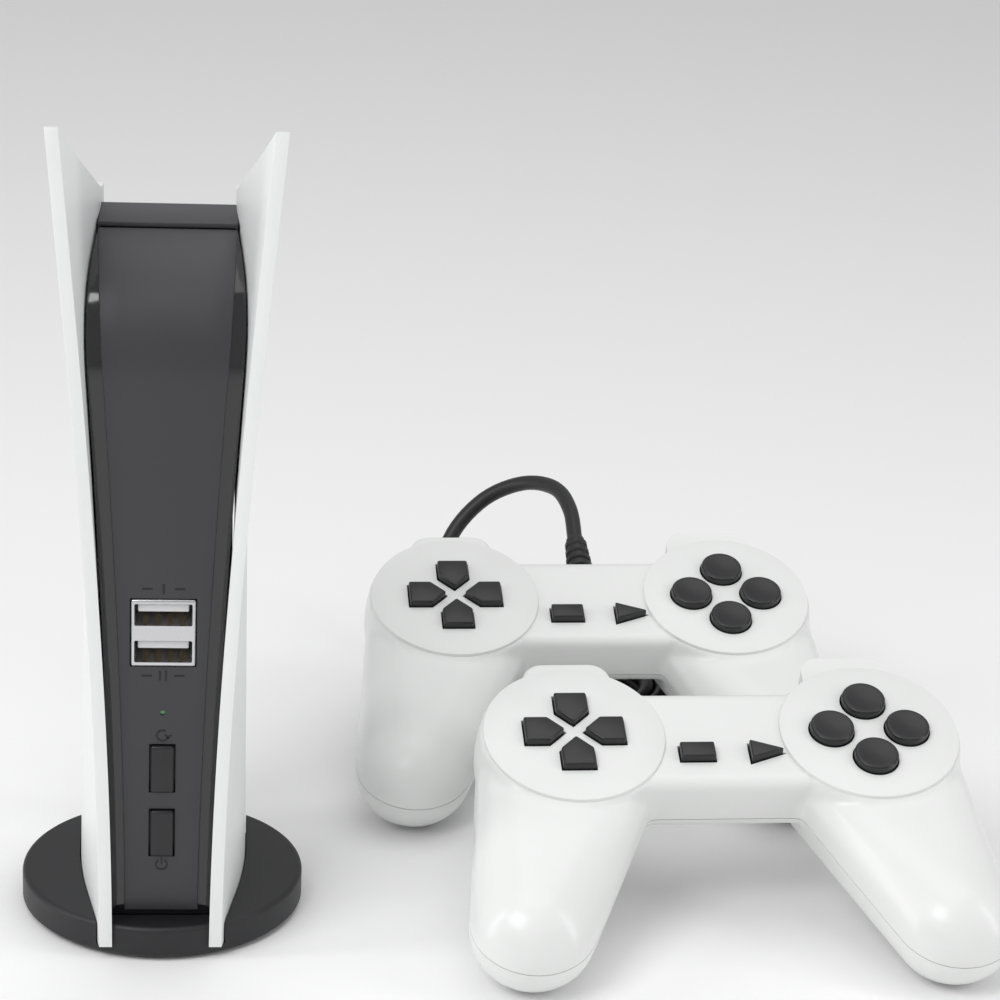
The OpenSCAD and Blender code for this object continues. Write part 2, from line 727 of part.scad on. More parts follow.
relief_len = 16;
coil_at = [105.8, 88.5];
coil_r = [17, 21, 25];               // radii of the turns
coil_z = [2, 6.05, 10.05, 14.05];    // heights of the turns; the outer lowest one is the feed's
function on_coil(r, a, z) = [coil_at[0] + r * cos(a), coil_at[1] + r * sin(a), z];
feed = concat([[105.3, 99.7, 40.7], [104.92, 110.92, 44.78], [104.5, 122.2, 48.9], [101.5, 133.5, 50.6],
    [94, 142.5, 48.5], [84, 146, 42.5], [75.5, 143, 33.5], [71.5, 135.5, 23], [72.5, 126.5, 13],
    [77, 118, 5.6], [81.4, 109.5, 2.4], [83, 100.7, 2.05]],
    [for (a = [170 : 15 : 290]) on_coil(25.05, a, 2.05)]);
plug_at = [134.9, 122, 4];
tail = concat([for (a = [285 : 15 : 360]) on_coil(29.15, a, 2.05)],
    [[134.9, 97, 2.3], [134.9, 105, 3.3], [134.9, 113, 4], [134.9, 121, 4]]);

function curve(p, i, t) = 0.5 * (2 * p[i] + (p[i + 1] - p[i - 1]) * t
    + (2 * p[i - 1] - 5 * p[i] + 4 * p[i + 1] - p[i + 2]) * t * t
    + (3 * p[i] - p[i - 1] - 3 * p[i + 1] + p[i + 2]) * t * t * t);
function smooth(p, steps) = concat(
    [for (i = [1 : len(p) - 3], k = [0 : steps - 1]) curve(p, i, k / steps)], [p[len(p) - 2]]);
function unit(v) = v / norm(v);
module tube(path, r) {
    last = len(path) - 1;
    loft([for (i = [0 : last])
        let (t = unit(path[min(i + 1, last)] - path[max(i - 1, 0)]), u = unit(cross(t, [0, 0, 1])),
             v = cross(t, u))
        [for (a = [0 : 36 : 324]) path[i] + r * (cos(a) * u - sin(a) * v)]]);
}
module lead_relief() {
    color([0.06, 0.06, 0.06]) stand(rear_at) translate([0, 0, lead_z]) rotate([-90, 0, 0]) {
        translate([0, 0, bridge_back - 3.8]) cylinder(h = 1.6, r = relief_r + 1.2, $fn = 32);
        translate([0, 0, bridge_back - 2.4]) cylinder(h = 2.4 + relief_len, r1 = relief_r - 0.6,
            r2 = lead_d / 2 + 0.4, $fn = 32);
        for (k = [0 : 4]) translate([0, 0, bridge_back + 1 + k * 2.9])
            cylinder(h = 1.7, r = relief_r - k * 0.18, $fn = 32);
    }
}
module lead_tube() {
    color([0.06, 0.06, 0.06]) {
        tube(smooth(feed, 3), lead_d / 2);
        tube(smooth(tail, 3), lead_d / 2);
    }
}
module lead_coil() {
    color([0.06, 0.06, 0.06]) translate([coil_at[0], coil_at[1], 0]) rotate_extrude($fn = 48) {
        for (r = coil_r, z = coil_z) if (r < 25 || z > 4) translate([r, z]) circle(r = lead_d / 2, $fn = 16);
        polygon([[17, 2], [21, 2], [25, 6.05], [25, 14.05], [17, 14.05]]);
    }
}
module plug_body() {
    color([0.06, 0.06, 0.06]) translate(plug_at) {
        hull() for (x = [-1, 1], z = [-1, 1]) rod_y(x * 4, z * 2, 2, 0, 24);
        translate([0, -8.9, 0]) rotate([-90, 0, 0]) cylinder(h = 9, r1 = 2.5, r2 = 3.5, $fn = 28);
    }
}
module plug_shell() {
    color("silver") translate(plug_at) difference() {
        translate([-6, 24, -2.25]) cube([12, 12, 4.5]);
        translate([-5.6, 25, -1.85]) cube([11.2, 12, 3.7]);
    }
}

module lead_parts(name) {
    if (name == "lead_relief") lead_relief();
    if (name == "lead_tube") lead_tube();
    if (name == "lead_coil") lead_coil();
    if (name == "plug_body") plug_body();
    if (name == "plug_shell") plug_shell();
}

for (name = CONSOLE) union() {
    if (name == "base_disc") base_disc();
    if (name == "base_pad") base_pad();
    if (name == "base_weight") base_weight();
    if (name == "base_screws") base_screws();
    if (name == "front_shell") front_shell();
    if (name == "rear_shell") rear_shell();
    if (name == "front_panel") front_panel();
    if (name == "left_fin") left_fin();
    if (name == "right_fin") right_fin();
    if (name == "usb_socket_shell") usb_socket_shell();
    if (name == "usb_tongues") usb_tongues();
    if (name == "usb_contacts") usb_contacts();
    if (name == "reset_button") reset_button();
    if (name == "power_button") power_button();
    if (name == "tact_switches") tact_switches();
    if (name == "status_led") status_led();
    if (name == "main_board") main_board();
    if (name == "game_chips") game_chips();
    if (name == "jack_board") jack_board();
    if (name == "link_wires") link_wires();
    if (name == "av_jack") av_jack();
    if (name == "power_inlet") power_inlet();
    if (name == "body_screws") body_screws();
}
for (name = PAD_PARTS) {
    stand(rear_at) pad_part(name, relief_r);
    stand(front_at) pad_part(name, lead_d / 2);
}
for (name = LEAD) lead_parts(name);
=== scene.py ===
"""Tower game console on a round base, with two wired game controllers beside it.

Lengths are written in millimetres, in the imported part's own frame, and turned into metres
when a mesh is made. The part's solids give the places; the pieces below give the looks.
"""

import json
import math

import bmesh
import bpy
from mathutils import Matrix, Vector


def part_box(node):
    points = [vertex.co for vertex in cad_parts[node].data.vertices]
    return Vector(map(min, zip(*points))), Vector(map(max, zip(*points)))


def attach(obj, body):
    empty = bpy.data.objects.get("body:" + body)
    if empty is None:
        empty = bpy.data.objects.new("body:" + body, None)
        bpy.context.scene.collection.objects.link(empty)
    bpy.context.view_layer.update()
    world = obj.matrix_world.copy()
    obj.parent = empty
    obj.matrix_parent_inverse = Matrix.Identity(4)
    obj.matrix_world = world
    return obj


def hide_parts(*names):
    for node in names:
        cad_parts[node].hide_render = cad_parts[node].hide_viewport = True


MM = 0.001
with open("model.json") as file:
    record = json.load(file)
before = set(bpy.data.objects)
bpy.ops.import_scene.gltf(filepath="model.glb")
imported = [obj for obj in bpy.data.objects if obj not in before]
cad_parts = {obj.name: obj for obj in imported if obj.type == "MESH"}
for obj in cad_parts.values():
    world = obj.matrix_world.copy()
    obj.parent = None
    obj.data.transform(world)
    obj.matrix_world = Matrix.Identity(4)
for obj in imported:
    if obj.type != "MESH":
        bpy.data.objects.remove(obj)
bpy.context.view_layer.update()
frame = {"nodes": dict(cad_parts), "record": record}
scene = bpy.context.scene


def node_box(node):
    """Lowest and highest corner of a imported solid, in millimetres."""
    low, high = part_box(node)
    return Vector(low) / MM, Vector(high) / MM


# --- mesh tools ------------------------------------------------------------------------------


def piece_from(name, verts, faces):
    mesh = bpy.data.meshes.new(name)
    mesh.from_pydata([Vector(v) * MM for v in verts], [], faces)
    shape = bmesh.new()
    shape.from_mesh(mesh)
    bmesh.ops.recalc_face_normals(shape, faces=shape.faces)
    shape.to_mesh(mesh)
    shape.free()
    piece = bpy.data.objects.new(name, mesh)
    scene.collection.objects.link(piece)
    return piece


def loft(name, rings):
    """Closed solid skinned over rings that all have the same number of points."""
    n = len(rings[0])
    verts = [p for ring in rings for p in ring]
    faces = [
        (j * n + i, j * n + (i + 1) % n, (j + 1) * n + (i + 1) % n, (j + 1) * n + i)
        for j in range(len(rings) - 1)
        for i in range(n)
    ]
    faces.append(tuple(range(n)))
    faces.append(tuple(range(len(verts) - n, len(verts))))
    return piece_from(name, verts, faces)


def circle(radius, steps):
    return [
        (radius * math.cos(2 * math.pi * k / steps), radius * math.sin(2 * math.pi * k / steps))
        for k in range(steps)
    ]


def turned(name, profile, at=(0, 0, 0), steps=72):
    """Solid of revolution about Z from (radius, height) pairs."""
    rings = [
        [(at[0] + x, at[1] + y, at[2] + z) for x, y in circle(max(r, 0.01), steps)]
        for r, z in profile
    ]
    return loft(name, rings)


def prism(name, outline, z0, z1):
    return loft(name, [[(x, y, z) for x, y in outline] for z in (z0, z1)])


def block(name, low, high):
    outline = [(low[0], low[1]), (high[0], low[1]), (high[0], high[1]), (low[0], high[1])]
    return prism(name, outline, low[2], high[2])


def rod(name, start, end, radius, steps=40):
    """Cylinder between two points."""
    start, end = Vector(start), Vector(end)
    turn = (end - start).to_track_quat("Z", "Y")
    rings = [
        [c + turn @ Vector((x, y, 0)) for x, y in circle(radius, steps)] for c in (start, end)
    ]
    return loft(name, rings)


def settle(piece):
    """Turns a piece's modifiers into mesh."""
    graph = bpy.context.evaluated_depsgraph_get()
    piece.data = bpy.data.meshes.new_from_object(piece.evaluated_get(graph))
    piece.modifiers.clear()
    return piece


def drop(piece):
    bpy.data.objects.remove(piece)


def combine(piece, tools, operation):
    for tool in tools:
        step = piece.modifiers.new("step", "BOOLEAN")
        step.solver = "EXACT"
        step.operation = operation
        step.object = tool
        settle(piece)
        drop(tool)
    return piece


def cut(piece, *tools):
    return combine(piece, tools, "DIFFERENCE")


def join(piece, *tools):
    return combine(piece, tools, "UNION")


def soften(piece, width, segments=3, angle=32):
    """Rounds the edges sharper than angle."""
    step = piece.modifiers.new("edges", "BEVEL")
    step.width = width * MM
    step.segments = segments
    step.limit_method = "ANGLE"
    step.angle_limit = math.radians(angle)
    step.harden_normals = False
    return settle(piece)


def shade(piece, angle=38):
    mesh = piece.data
    mesh.polygons.foreach_set("use_smooth", [True] * len(mesh.polygons))
    mesh.set_sharp_from_angle(angle=math.radians(angle))
    return piece


def dress(piece, material, body=None, nodes=()):
    """Gives a piece its material, the body it moves with and the solids it stands for."""
    piece.data.materials.clear()
    piece.data.materials.append(material)
    if body:
        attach(piece, body)
    if nodes:
        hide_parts(*nodes)
    return piece


# --- materials -------------------------------------------------------------------------------


def moulded_surface():
    """Shared grain, colour drift and gloss drift of moulded and rolled surfaces."""
    group = bpy.data.node_groups.new("moulded surface", "ShaderNodeTree")
    face = group.interface
    for name, kind, value in (
        ("Colour", "NodeSocketColor", (1, 1, 1, 1)),
        ("Drift", "NodeSocketFloat", 0.04),
        ("Roughness", "NodeSocketFloat", 0.4),
        ("Gloss Drift", "NodeSocketFloat", 0.05),
        ("Grain Scale", "NodeSocketFloat", 2500.0),
    ):
        face.new_socket(name, in_out="INPUT", socket_type=kind).default_value = value
    for name, kind in (
        ("Colour", "NodeSocketColor"),
        ("Roughness", "NodeSocketFloat"),
        ("Height", "NodeSocketFloat"),
    ):
        face.new_socket(name, in_out="OUTPUT", socket_type=kind)
    nodes, link = group.nodes, group.links.new
    inside = nodes.new("NodeGroupInput")
    outside = nodes.new("NodeGroupOutput")
    where = nodes.new("ShaderNodeTexCoord")
    grain = nodes.new("ShaderNodeTexNoise")
    grain.inputs["Detail"].default_value = 2.0
    cloud = nodes.new("ShaderNodeTexNoise")
    cloud.inputs["Scale"].default_value = 45.0
    cloud.inputs["Detail"].default_value = 3.0
    link(where.outputs["Object"], grain.inputs["Vector"])
    link(where.outputs["Object"], cloud.inputs["Vector"])
    link(inside.outputs["Grain Scale"], grain.inputs["Scale"])
    centred = nodes.new("ShaderNodeMath")
    centred.operation = "SUBTRACT"
    centred.inputs[1].default_value = 0.5
    link(cloud.outputs["Fac"], centred.inputs[0])
    gloss = nodes.new("ShaderNodeMath")
    gloss.operation = "MULTIPLY_ADD"
    link(centred.outputs[0], gloss.inputs[0])
    link(inside.outputs["Gloss Drift"], gloss.inputs[1])
    link(inside.outputs["Roughness"], gloss.inputs[2])
    tone = nodes.new("ShaderNodeMath")
    tone.operation = "MULTIPLY_ADD"
    tone.inputs[2].default_value = 1.0
    link(centred.outputs[0], tone.inputs[0])
    link(inside.outputs["Drift"], tone.inputs[1])
    tint = nodes.new("ShaderNodeHueSaturation")
    link(inside.outputs["Colour"], tint.inputs["Color"])
    link(tone.outputs[0], tint.inputs["Value"])
    link(tint.outputs["Color"], outside.inputs["Colour"])
    link(gloss.outputs[0], outside.inputs["Roughness"])
    link(grain.outputs["Fac"], outside.inputs["Height"])
    return group


SURFACE = moulded_surface()


def finish(name, colour, roughness, *, metallic=0.0, coat=0.0, drift=0.05, gloss_drift=0.06,
           grain=2500.0, depth=0.01, glow=0.0):
    material = bpy.data.materials.new(name)
    material.use_nodes = True
    material.diffuse_color = (*colour, 1)
    nodes, link = material.node_tree.nodes, material.node_tree.links.new
    shader = nodes["Principled BSDF"]
    surface = nodes.new("ShaderNodeGroup")
    surface.node_tree = SURFACE
    surface.inputs["Colour"].default_value = (*colour, 1)
    surface.inputs["Drift"].default_value = drift
    surface.inputs["Roughness"].default_value = roughness
    surface.inputs["Gloss Drift"].default_value = gloss_drift
    surface.inputs["Grain Scale"].default_value = grain
    bump = nodes.new("ShaderNodeBump")
    bump.inputs["Strength"].default_value = 0.25
    bump.inputs["Distance"].default_value = depth * MM
    link(surface.outputs["Colour"], shader.inputs["Base Color"])
    link(surface.outputs["Roughness"], shader.inputs["Roughness"])
    link(surface.outputs["Height"], bump.inputs["Height"])
    link(bump.outputs["Normal"], shader.inputs["Normal"])
    shader.inputs["Metallic"].default_value = metallic
    shader.inputs["Coat Weight"].default_value = coat
    shader.inputs["Coat Roughness"].default_value = 0.08
    shader.inputs["Specular IOR Level"].default_value = 0.5
    if glow:
        shader.inputs["Emission Color"].default_value = (*colour, 1)
        shader.inputs["Emission Strength"].default_value = glow
    return material


pad_white = finish("controller white", (0.80, 0.81, 0.80), 0.34, coat=0.15, depth=0.006, drift=0.03)
fin_white = finish("fin white", (0.84, 0.85, 0.85), 0.42, depth=0.012, drift=0.03)
key_black = finish("key black", (0.012, 0.012, 0.014), 0.32, depth=0.008)
gloss_black = finish("gloss black", (0.006, 0.006, 0.008), 0.07, coat=0.6, depth=0.001, gloss_drift=0.03)
panel_grey = finish("panel grey", (0.040, 0.040, 0.045), 0.42, depth=0.03, grain=3500, drift=0.12)
base_black = finish("base black", (0.012, 0.012, 0.014), 0.5, depth=0.03, drift=0.1)
port_white = finish("port white", (0.78, 0.79, 0.80), 0.4)
mark_black = finish("mark black", (0.005, 0.005, 0.006), 0.3)
steel = finish("steel", (0.62, 0.62, 0.64), 0.26, metallic=1.0, gloss_drift=0.15, grain=900)
gold = finish("contact gold", (0.85, 0.62, 0.25), 0.25, metallic=1.0)
rubber_black = finish("cord black", (0.014, 0.014, 0.015), 0.45, depth=0.02)
foam = finish("foam", (0.03, 0.03, 0.03), 0.9, depth=0.2, grain=1200, drift=0.2)
board_green = finish("board green", (0.01, 0.10, 0.04), 0.35, coat=0.3)
wire_red = finish("wire red", (0.45, 0.02, 0.02), 0.4)
mat_grey = finish("mat grey", (0.35, 0.35, 0.36), 0.7, depth=0.02)
led_clear = finish("indicator", (0.25, 0.60, 0.32), 0.15, glow=0.3)
chip_black = finish("chip black", (0.015, 0.015, 0.016), 0.6, depth=0.02)

SLOT_FINISH = {
    "black_matte": chip_black, "foam": foam, "steel": steel, "gloss_black": gloss_black,
    "panel_grey": panel_grey, "fin_white": fin_white, "port_white": port_white, "gold": gold,
    "key_black": key_black, "led": led_clear, "board_green": board_green, "wire_red": wire_red,
    "pad_white": pad_white, "mat_grey": mat_grey, "cord_black": rubber_black,
}


def dress_packed_solids():
    """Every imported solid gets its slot's finish, whether it stays in sight or not."""
    for part in frame["record"]["subparts"]:
        solid = frame["nodes"][part["node"]]
        material = SLOT_FINISH[part["material_slot"]]
        if solid.material_slots:
            for place in solid.material_slots:
                place.material = material
        else:
            solid.data.materials.append(material)


# --- console ---------------------------------------------------------------------------------

CONSOLE_H = 190
BODY_TOP = 161.5
BROW_R = 28
BODY_FRONT = 25
BODY_REAR = 29
SHELL_T = 1.8
PANEL_T = 1
CHEEK_W = 3.2
FIN_T = 2.8
FIN_FOOT, FIN_TIP = 12.1, 23.4
WAIST_LOW, WAIST_HIGH = 17.7, 15.7
FIN_FRONT, FIN_REAR = 31, 31
FIN_GAP = 0.5
FIN_BOTTOM = 3
FIN_FALL = 27
FIN_CORNER = 9
BASE_R, BASE_H = 32, 8
BODY_BOTTOM = BASE_H - 3
PAD_T = 0.8
SEAM_Y = -4
BROW_Z = BODY_TOP - BROW_R
BROW_Y = BROW_R - BODY_FRONT
BACK_R = 18
USB_W, USB_H, USB_Z = 14, 15.6, 77
KEY_W, KEY_H = 5.2, 11.2
RESET_Z, POWER_Z, LED_Z = 44.6, 28.9, 57.9
PORT_W, PORT_H, PORT_DZ = 12.5, 5.1, 4.3
AV_Z, INLET_Z = 60, 40
MARK_RISE, MARK_ROOT = 0.12, 0.04    # how far a mark stands out of the panel, and reaches into it


def mix(a, b, t):
    return a + (b - a) * t


def spaced(a, b, steps):
    return [mix(a, b, k / steps) for k in range(steps + 1)]


def front_spread(z):
    s = z / CONSOLE_H
    return FIN_FOOT + (FIN_TIP - FIN_FOOT) * (0.0503 * s + 1.434 * s**2 - 0.4843 * s**3)


def waist(z):
    return mix(WAIST_LOW, WAIST_HIGH, z / CONSOLE_H)


def ease(u):
    return 1 - u if u < 0.6 else max(1.4 - u, 0) ** 2 / 1.6


def fin_x(y, z):
    """Half-spread of a fin's middle surface."""
    return waist(z) + (front_spread(z) - waist(z)) * ease((y + FIN_FRONT) / 30)


def body_x(y, z):
    """Half-width of the housing where it follows the fins."""
    return fin_x(y, z) - FIN_T / 2 - FIN_GAP


def fin_top(y):
    s = (y + FIN_FRONT) / (FIN_FRONT + FIN_REAR)
    back = FIN_REAR - y
    corner = FIN_CORNER - math.sqrt(FIN_CORNER**2 - (FIN_CORNER - back) ** 2) if back < FIN_CORNER else 0
    return CONSOLE_H - FIN_FALL * (2 * s - s * s) - corner


def make_fin(side, node):
    """White fin with a rounded edge all round."""
    rows = 44
    columns = spaced(-FIN_FRONT, FIN_REAR - FIN_CORNER, 34) + [
        FIN_REAR - FIN_CORNER * (1 - math.sin(math.radians(a))) for a in range(8, 89, 8)
    ] + [FIN_REAR - 0.01]
    rings = []
    for y in columns:
        heights = spaced(FIN_BOTTOM, fin_top(y), rows)
        rings.append(
            [(side * (fin_x(y, z) + FIN_T / 2), y, z) for z in heights]
            + [(side * (fin_x(y, z) - FIN_T / 2), y, z) for z in reversed(heights)]
        )
    fin = shade(soften(loft(node, rings), 0.7, 4, 50), 50)
    dress(fin, fin_white, "console", [node])


def level_ring(y0, y1, z, d=0.0, steps=8):
    """Section of the housing at a height, from y0 to y1, sunk inward by d."""
    right = [(body_x(y, z) - d, y, z) for y in spaced(y0, y1, steps)]
    return right + [(-x, y, z) for x, y, z in reversed(right)]


def housing_front(name, d, low, to):
    angles = [math.radians(74.2 * k / 24) for k in range(25)]
    places = [(-BODY_FRONT + d, z) for z in spaced(low, BROW_Z, 30)[:-1]]
    places += [
        (BROW_Y - (BROW_R - d) * math.cos(a), BROW_Z + (BROW_R - d) * math.sin(a)) for a in angles
    ]
    return loft(name, [level_ring(min(y, SEAM_Y - 0.6), to, z, d) for y, z in places])


def housing_rear(name, d, low, start):
    bend_z, bend_y = BODY_TOP - BACK_R, BODY_REAR - BACK_R
    angles = [math.radians(90 * k / 20) for k in range(21)]
    places = [(BODY_REAR - d, z) for z in spaced(low, bend_z, 30)[:-1]]
    places += [
        (bend_y + (BACK_R - d) * math.cos(a), bend_z + (BACK_R - d) * math.sin(a)) for a in angles
    ]
    return loft(name, [level_ring(start, y, z, d) for y, z in places])


def key_window(z, gap):
    reach = BODY_FRONT + PANEL_T + 2
    return block("key window", (-KEY_W / 2 - gap, -reach, z - KEY_H / 2 - gap),
                 (KEY_W / 2 + gap, -BODY_FRONT + SHELL_T + 1, z + KEY_H / 2 + gap))


def face_windows(led_r):
    reach = BODY_FRONT + PANEL_T + 2
    inner = -BODY_FRONT + SHELL_T + 1
    return [
        block("socket window", (-USB_W / 2 - 0.2, -reach, USB_Z - USB_H / 2 - 0.2),
              (USB_W / 2 + 0.2, inner, USB_Z + USB_H / 2 + 0.2)),
        key_window(RESET_Z, 0.3), key_window(POWER_Z, 0.3),
        rod("led window", (0, -reach, LED_Z), (0, inner, LED_Z), led_r),
    ]


def make_shells():
    low = BODY_BOTTOM + SHELL_T
    front = soften(housing_front("front_shell", 0, BODY_BOTTOM, SEAM_Y - 0.08), 0.9, 5, 55)
    cut(front, housing_front("hollow", SHELL_T, low, SEAM_Y + 1), *face_windows(1.2))
    dress(shade(front), gloss_black, "console", ["front_shell"])

    rear = soften(housing_rear("rear_shell", 0, BODY_BOTTOM, SEAM_Y + 0.08), 0.6, 4, 55)
    jacks = [
        rod("jack way", (0, BODY_REAR - 4, z), (0, BODY_REAR + 1, z), r)
        for z, r in ((AV_Z, 3.2), (INLET_Z, 4.2))
    ]
    screw_ways = [
        rod("screw way", (s * x, BODY_REAR - 2, z), (s * x, BODY_REAR + 1, z), 2.3)
        for s in (-1, 1) for x, z in ((6.2, 15), (8.5, 122))
    ]
    cut(rear, housing_rear("hollow", SHELL_T, low, SEAM_Y - 1), *jacks, *screw_ways)
    dress(shade(rear), gloss_black, "console", ["rear_shell"])

    half = body_x(-BODY_FRONT, BODY_TOP) - CHEEK_W
    strip = soften(block("rear_strip", (-half, SEAM_Y + 0.08, BODY_TOP - 0.4),
                         (half, BODY_REAR - BACK_R, BODY_TOP + PANEL_T)), 0.3)
    dress(shade(strip), panel_grey, "console")


def make_panel():
    """Matte panel down the front and over the brow, with softened edges."""
    foot = BASE_H + 1.6
    places = [(-BODY_FRONT, z, 0, -1) for z in spaced(foot, BROW_Z, 30)]
    for k in range(1, 25):
        a = math.radians(74.7 * k / 24)
        places.append((BROW_Y - BROW_R * math.cos(a), BROW_Z + BROW_R * math.sin(a),
                       math.sin(a), -math.cos(a)))
    rings = []
    for y, z, up, out in places:
        w = body_x(-BODY_FRONT, z) - CHEEK_W
        oy, oz = y + out * PANEL_T, z + up * PANEL_T
        across = spaced(-w, w, 6)
        rings.append([(x, oy, oz) for x in across] + [(x, y, z) for x in reversed(across)])
    panel = soften(loft("front_panel", rings), 0.3, 3, 55)
    cut(panel, *face_windows(0.6))
    dress(shade(panel), panel_grey, "console", ["front_panel"])


def make_base():
    edge = 1.2
    profile = [(0, PAD_T), (BASE_R - 0.6, PAD_T), (BASE_R, PAD_T + 0.6)]
    profile += [
        (BASE_R - edge + edge * math.cos(a), BASE_H - edge + edge * math.sin(a))
        for a in (math.radians(9 * k) for k in range(11))
    ]
    base = turned("base_disc", profile + [(0, BASE_H)], steps=144)
    ys = spaced(-BODY_FRONT - 0.3, BODY_REAR + 0.3, 8)
    right = [(body_x(y, BASE_H) + 0.3, y) for y in ys]
    pocket = prism("pocket", right + [(-x, y) for x, y in reversed(right)], BODY_BOTTOM, BASE_H + 2)
    slots = []
    for side in (-1, 1):
        ys = spaced(-FIN_FRONT - 2, FIN_REAR + 2, 12)
        outline = [(side * (fin_x(y, BASE_H) + FIN_T / 2 + 0.3), y) for y in ys]
        outline += [(side * (fin_x(y, BASE_H) - FIN_T / 2 - 0.3), y) for y in reversed(ys)]
        slots.append(prism("fin slot", outline, FIN_BOTTOM - 0.3, BASE_H + 2))
    low, high = node_box("base_weight")
    weight_pocket = block("pocket", (low.x - 0.2, low.y - 0.2, 0), (high.x + 0.2, high.y + 0.2, high.z))
    cut(base, pocket, *slots, weight_pocket)
    dress(shade(base), base_black, "console", ["base_disc"])


def make_socket():
    """Folded steel socket with two ports, each with its white tongue."""
    low, high = node_box("usb_socket_shell")
    shell = soften(block("usb_socket_shell", low, high), 0.5, 4)
    for s in (-1, 1):
        z = USB_Z + s * PORT_DZ
        way = soften(block("port way", (-PORT_W / 2, low.y - 1, z - PORT_H / 2),
                           (PORT_W / 2, high.y - 1, z + PORT_H / 2)), 0.35, 3)
        cut(shell, way)
    dress(shade(shell), steel, "console", ["usb_socket_shell"])
    low, high = node_box("usb_tongues")
    for s in (-1, 1):
        top = USB_Z + s * PORT_DZ + PORT_H / 2 - 0.5
        tongue = soften(block("usb_tongue", (low.x, low.y, top - 1.8), (high.x, high.y, top)), 0.3)
        dress(shade(tongue), port_white, "console", ["usb_tongues"] if s > 0 else [])


def make_console_key(node, body, z):
    low, high = node_box(node)
    inner = -BODY_FRONT + SHELL_T
    cap = block(node, (-KEY_W / 2, low.y, z - KEY_H / 2), (KEY_W / 2, inner + 0.4, z + KEY_H / 2))
    soften(cap, 0.6, 4)
    flange = block("flange", (low.x, inner + 0.3, low.z), (high.x, inner + 1.3, high.z))
    stem = rod("stem", (0, inner + 1.2, z), (0, high.y, z), 1.5)
    join(cap, flange, stem)
    dress(shade(cap), key_black, body, [node])


def ribbon_mark(name, points, width, closed=False):
    """Thin printed line on the front panel, through (x, z) points."""
    y = -BODY_FRONT - PANEL_T
    n = len(points)
    left, right = [], []
    for k, (x, z) in enumerate(points):
        before = points[k - 1] if closed or k else points[k]
        after = points[(k + 1) % n] if closed or k < n - 1 else points[k]
        along = Vector((after[0] - before[0], after[1] - before[1])).normalized()
        side = Vector((-along.y, along.x)) * width / 2
        left.append((x + side.x, z + side.y))
        right.append((x - side.x, z - side.y))
    verts, faces = [], []
    for a, b in zip(left, right):
        verts += [(a[0], y - MARK_RISE, a[1]), (b[0], y - MARK_RISE, b[1])]
        verts += [(b[0], y + MARK_ROOT, b[1]), (a[0], y + MARK_ROOT, a[1])]
    for k in range(n if closed else n - 1):
        i, j = 4 * k, 4 * ((k + 1) % n)
        faces += [(i + e, i + (e + 1) % 4, j + (e + 1) % 4, j + e) for e in range(4)]
    if not closed:
        faces += [(0, 1, 2, 3), (4 * n - 4, 4 * n - 3, 4 * n - 2, 4 * n - 1)]
    dress(piece_from(name, verts, faces), mark_black, "console")


def arc(cx, cz, r, start, end, steps=20):
    return [(cx + r * math.cos(math.radians(a)), cz + r * math.sin(math.radians(a)))
            for a in spaced(start, end, steps)]


def make_marks():
    """Plain raised symbols by the ports and keys: one bar, two bars, a turning arrow, a power ring."""
    for s, bars in ((1, 1), (-1, 2)):
        cz = USB_Z + s * (USB_H / 2 + 2.4)
        for k in range(bars):
            cx = (k - (bars - 1) / 2) * 1.3
            ribbon_mark("port_mark", [(cx, cz - 1.1), (cx, cz + 1.1)], 0.45)
        for side in (-1, 1):
            ribbon_mark("port_line", [(side * 2.4, cz), (side * 4.6, cz)], 0.35)
    cz = RESET_Z + KEY_H / 2 + 2.3
    ribbon_mark("reset_mark", arc(0, cz, 1.25, 60, 360, 24), 0.4)
    ribbon_mark("reset_mark_head", [(0.55, cz + 0.2), (1.25, cz - 0.6), (1.95, cz + 0.2)], 0.4)
    cz = POWER_Z - KEY_H / 2 - 2.3
    ribbon_mark("power_mark", arc(0, cz, 1.25, 125, 415, 26), 0.4)
    ribbon_mark("power_mark_bar", [(0, cz + 0.1), (0, cz + 1.7)], 0.4)


# --- controllers -----------------------------------------------------------------------------
# Own frame: x right, y away from the player, z out of the face; z = 0 is the bridge's top.

TILT, PAD_TURN = 20, 2
REAR_AT, FRONT_AT = (106, 80), (128, 0)
SPAN = 34.5
DISC_R, DISC_RISE = 21, 0.8
POD_R, POD_DEPTH = 22.4, 27
GRIP_REACH, GRIP_SPREAD, GRIP_R, GRIP_DROP, GRIP_FLAT = 47.2, 47.5, 14.3, 13, 0.909
CASE_T = 2
PART_Z = -12
BRIDGE_FRONT, BRIDGE_BACK, BRIDGE_T = 15.5, 14.2, 15
SHOULDER_X, SHOULDER_W, SHOULDER_Y, SHOULDER_Z = SPAN - 1, 20.8, (15, 27), (-13, -3)
HOUSING_LOW = 27.2
BUTTON_R, BUTTON_RING = 5.1, 8.9
ARROW_W, ARROW_OUT = 7.6, 11.6
SLIP = 0.35
LEAD_Z, RELIEF_R, RELIEF_LEN, LEAD_D = -7.5, 3.6, 16, 4
# x, y and head height of each case screw
PAD_SCREWS = [
    (side * x, y, head) for side in (-1, 1) for x, y, head in ((15.2, 9.4, -13.2), (43.5, -29, -18))
]
MENU_Y, SELECT_X, START_X = -6.4, -6.7, 9.4

tilt = math.radians(TILT)
TIP_REST = (GRIP_REACH * math.sin(tilt) + GRIP_DROP * math.cos(tilt)
            + GRIP_R * math.hypot(GRIP_FLAT * math.cos(tilt), math.sin(tilt)))


def stand(at):
    """Place of a controller's own frame in the part's, in metres."""
    return (Matrix.Translation(Vector((at[0], at[1], TIP_REST)) * MM)
            @ Matrix.Rotation(math.radians(PAD_TURN), 4, "Z") @ Matrix.Rotation(tilt, 4, "X"))


